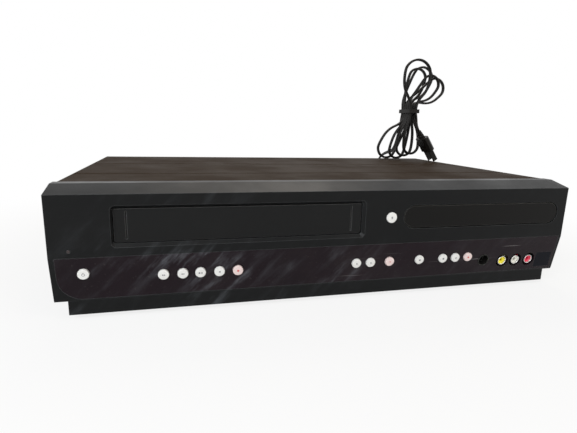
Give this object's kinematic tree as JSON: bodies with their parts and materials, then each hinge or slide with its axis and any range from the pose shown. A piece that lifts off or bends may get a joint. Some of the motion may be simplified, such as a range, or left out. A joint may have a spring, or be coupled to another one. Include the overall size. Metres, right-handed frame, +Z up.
{
  "type": "disc and video cassette player",
  "caption": "Full-width black player with a hinged cassette door, a sliding disc tray, push buttons and sockets on a glossy strip, and its mains lead tied in a hank.",
  "frame": {"origin": "on the table under the middle of the cabinet, half way between the tray button and the end of the strain relief", "axes": "+X to the right seen from the front, +Y to the back, +Z up"},
  "size_m": [0.4539, 0.3269, 0.2355],
  "materials": {
    "cover_steel": "black satin lacquer on steel",
    "panel_black": "satin black moulding",
    "strip_gloss": "glossy smoked black",
    "window_dark": "dark glossy window",
    "door_black": "satin black moulding",
    "tray_black": "satin black moulding",
    "button_silver": "silver-white caps",
    "button_red": "silver-pink caps",
    "sheet_steel": "zinc-plated steel",
    "aluminium": "turned",
    "chrome": "plated",
    "yellow": "moulded",
    "white": "moulded",
    "red": "moulded",
    "rubber": "matt",
    "cord_black": "black vinyl",
    "board": "circuit board",
    "lens_clear": "clear",
    "mech_plastic": "natural moulding",
    "display_glass": "dark glass"
  },
  "bodies": {
    "cabinet": {"base_pan": "sheet_steel", "feet": "rubber", "top_cover": "cover_steel", "cover_screws": "cover_steel", "front_panel": "panel_black", "control_strip": "strip_gloss", "sensor_window": "window_dark", "power_lens": "lens_clear", "drive_frame": "tray_black", "front_board": "board", "display": "display_glass", "phono_shells": "chrome", "video_socket": "yellow", "left_sound_socket": "white", "right_sound_socket": "red", "round_socket": "tray_black", "deck_frame": "sheet_steel", "carriage_guides": "sheet_steel", "drum_base": "aluminium", "main_board": "board", "power_board": "board", "rear_panel": "sheet_steel", "fan_frame": "tray_black", "rear_sockets": "chrome", "antenna_sockets": "chrome", "strain_relief": "cord_black", "lead": "cord_black", "lead_hank": "cord_black", "lead_tie": "cord_black", "plug": "cord_black"},
    "cassette_door": {"cassette_door": "door_black"},
    "tray": {"disc_tray": "tray_black", "tray_front": "tray_black"},
    "loading_gear": {"loading_gear": "mech_plastic"},
    "disc_clamp": {"disc_clamp": "mech_plastic"},
    "traverse": {"traverse_frame": "sheet_steel"},
    "turntable": {"turntable": "mech_plastic"},
    "pickup_sled": {"pickup_sled": "mech_plastic"},
    "cassette_holder": {"cassette_holder": "sheet_steel"},
    "supply_reel_table": {"supply_reel_table": "mech_plastic"},
    "takeup_reel_table": {"takeup_reel_table": "mech_plastic"},
    "head_drum": {"head_drum": "aluminium"},
    "capstan": {"capstan": "sheet_steel"},
    "pinch_arm": {"pinch_arm": "sheet_steel"},
    "pinch_roller": {"pinch_roller": "rubber"},
    "fan_rotor": {"fan_rotor": "tray_black"},
    "standby_button": {"standby_button": "button_silver"},
    "tape_rewind_button": {"tape_rewind_button": "button_silver"},
    "tape_forward_button": {"tape_forward_button": "button_silver"},
    "tape_eject_button": {"tape_eject_button": "button_silver"},
    "tape_play_button": {"tape_play_button": "button_silver"},
    "tape_record_button": {"tape_record_button": "button_red"},
    "channel_down_button": {"channel_down_button": "button_silver"},
    "channel_up_button": {"channel_up_button": "button_silver"},
    "dubbing_button": {"dubbing_button": "button_red"},
    "source_button": {"source_button": "button_silver"},
    "disc_stop_button": {"disc_stop_button": "button_silver"},
    "disc_play_button": {"disc_play_button": "button_silver"},
    "disc_record_button": {"disc_record_button": "button_red"},
    "tray_button": {"tray_button": "button_silver"}
  },
  "joints": [
    {"name": "door_hinge", "type": "hinge", "parent": "cabinet", "child": "cassette_door", "pos_m": [-0.0795, -0.13665, 0.0863], "axis": [1, 0, 0], "range_deg": [0, 88], "stiffness_Nm_per_rad": 0.01, "springref_deg": -17.19},
    {"name": "tray_slide", "type": "slide", "parent": "cabinet", "child": "tray", "axis": [0, -1, 0], "range_m": [0, 0.14]},
    {"name": "loading_gear_spin", "type": "hinge", "parent": "cabinet", "child": "loading_gear", "pos_m": [0.0832, -0.11625, 0.0642], "axis": [0, 0, 1], "range_deg": [-1, 1003.7]},
    {"name": "disc_clamp_spin", "type": "hinge", "parent": "cabinet", "child": "disc_clamp", "pos_m": [0.1307, -0.06225, 0.088], "axis": [0, 0, 1], "continuous": true},
    {"name": "traverse_tilt", "type": "hinge", "parent": "cabinet", "child": "traverse", "pos_m": [0.1307, 0.03375, 0.0585], "axis": [1, 0, 0], "range_deg": [0, 4]},
    {"name": "turntable_spin", "type": "hinge", "parent": "traverse", "child": "turntable", "pos_m": [0.1307, -0.06225, 0.06], "axis": [0, 0, 1], "continuous": true},
    {"name": "pickup_slide", "type": "slide", "parent": "traverse", "child": "pickup_sled", "axis": [0, 1, 0], "range_m": [0, 0.034]},
    {"name": "cassette_load", "type": "slide", "parent": "cabinet", "child": "cassette_holder", "axis": [0, 0.8321, -0.5547], "range_m": [0, 0.03606]},
    {"name": "supply_reel_spin", "type": "hinge", "parent": "cabinet", "child": "supply_reel_table", "pos_m": [-0.1255, -0.03025, 0.0311], "axis": [0, 0, 1], "continuous": true},
    {"name": "takeup_reel_spin", "type": "hinge", "parent": "cabinet", "child": "takeup_reel_table", "pos_m": [-0.0335, -0.03025, 0.0311], "axis": [0, 0, 1], "continuous": true},
    {"name": "head_drum_spin", "type": "hinge", "parent": "cabinet", "child": "head_drum", "pos_m": [-0.0795, 0.06775, 0.044], "axis": [0.104, 0, 0.9946], "continuous": true},
    {"name": "capstan_spin", "type": "hinge", "parent": "cabinet", "child": "capstan", "pos_m": [-0.0175, 0.04975, 0.024], "axis": [0, 0, 1], "continuous": true},
    {"name": "pinch_swing", "type": "hinge", "parent": "cabinet", "child": "pinch_arm", "pos_m": [-0.0115, 0.00775, 0.029], "axis": [0, 0, 1], "range_deg": [0, 25], "stiffness_Nm_per_rad": 0.02},
    {"name": "pinch_roller_spin", "type": "hinge", "parent": "pinch_arm", "child": "pinch_roller", "pos_m": [0.0025, 0.03873, 0.034], "axis": [0, 0, 1], "continuous": true},
    {"name": "fan_spin", "type": "hinge", "parent": "cabinet", "child": "fan_rotor", "pos_m": [0.075, 0.11825, 0.066], "axis": [0, 1, 0], "continuous": true},
    {"name": "standby_button_press", "type": "slide", "parent": "cabinet", "child": "standby_button", "axis": [0, 0.9861, 0.1659], "range_m": [0, 0.0008], "stiffness_N_per_m": 400, "springref_m": -0.0005},
    {"name": "tape_rewind_button_press", "type": "slide", "parent": "cabinet", "child": "tape_rewind_button", "axis": [0, 0.9861, 0.1659], "range_m": [0, 0.0008], "stiffness_N_per_m": 400, "springref_m": -0.0005},
    {"name": "tape_forward_button_press", "type": "slide", "parent": "cabinet", "child": "tape_forward_button", "axis": [0, 0.9861, 0.1659], "range_m": [0, 0.0008], "stiffness_N_per_m": 400, "springref_m": -0.0005},
    {"name": "tape_eject_button_press", "type": "slide", "parent": "cabinet", "child": "tape_eject_button", "axis": [0, 0.9861, 0.1659], "range_m": [0, 0.0008], "stiffness_N_per_m": 400, "springref_m": -0.0005},
    {"name": "tape_play_button_press", "type": "slide", "parent": "cabinet", "child": "tape_play_button", "axis": [0, 0.9861, 0.1659], "range_m": [0, 0.0008], "stiffness_N_per_m": 400, "springref_m": -0.0005},
    {"name": "tape_record_button_press", "type": "slide", "parent": "cabinet", "child": "tape_record_button", "axis": [0, 0.9861, 0.1659], "range_m": [0, 0.0008], "stiffness_N_per_m": 400, "springref_m": -0.0005},
    {"name": "channel_down_button_press", "type": "slide", "parent": "cabinet", "child": "channel_down_button", "axis": [0, 0.9861, 0.1659], "range_m": [0, 0.0008], "stiffness_N_per_m": 400, "springref_m": -0.0005},
    {"name": "channel_up_button_press", "type": "slide", "parent": "cabinet", "child": "channel_up_button", "axis": [0, 0.9861, 0.1659], "range_m": [0, 0.0008], "stiffness_N_per_m": 400, "springref_m": -0.0005},
    {"name": "dubbing_button_press", "type": "slide", "parent": "cabinet", "child": "dubbing_button", "axis": [0, 0.9861, 0.1659], "range_m": [0, 0.0008], "stiffness_N_per_m": 400, "springref_m": -0.0005},
    {"name": "source_button_press", "type": "slide", "parent": "cabinet", "child": "source_button", "axis": [0, 0.9861, 0.1659], "range_m": [0, 0.0008], "stiffness_N_per_m": 400, "springref_m": -0.0005},
    {"name": "disc_stop_button_press", "type": "slide", "parent": "cabinet", "child": "disc_stop_button", "axis": [0, 0.9861, 0.1659], "range_m": [0, 0.0008], "stiffness_N_per_m": 400, "springref_m": -0.0005},
    {"name": "disc_play_button_press", "type": "slide", "parent": "cabinet", "child": "disc_play_button", "axis": [0, 0.9861, 0.1659], "range_m": [0, 0.0008], "stiffness_N_per_m": 400, "springref_m": -0.0005},
    {"name": "disc_record_button_press", "type": "slide", "parent": "cabinet", "child": "disc_record_button", "axis": [0, 0.9861, 0.1659], "range_m": [0, 0.0008], "stiffness_N_per_m": 400, "springref_m": -0.0005},
    {"name": "tray_button_press", "type": "slide", "parent": "cabinet", "child": "tray_button", "axis": [0, 1, 0], "range_m": [0, 0.0008], "stiffness_N_per_m": 400, "springref_m": -0.0005}
  ],
  "couplings": [
    {"joint": "loading_gear_spin", "follows": "tray_slide", "rad_per_m": 125}
  ]
}
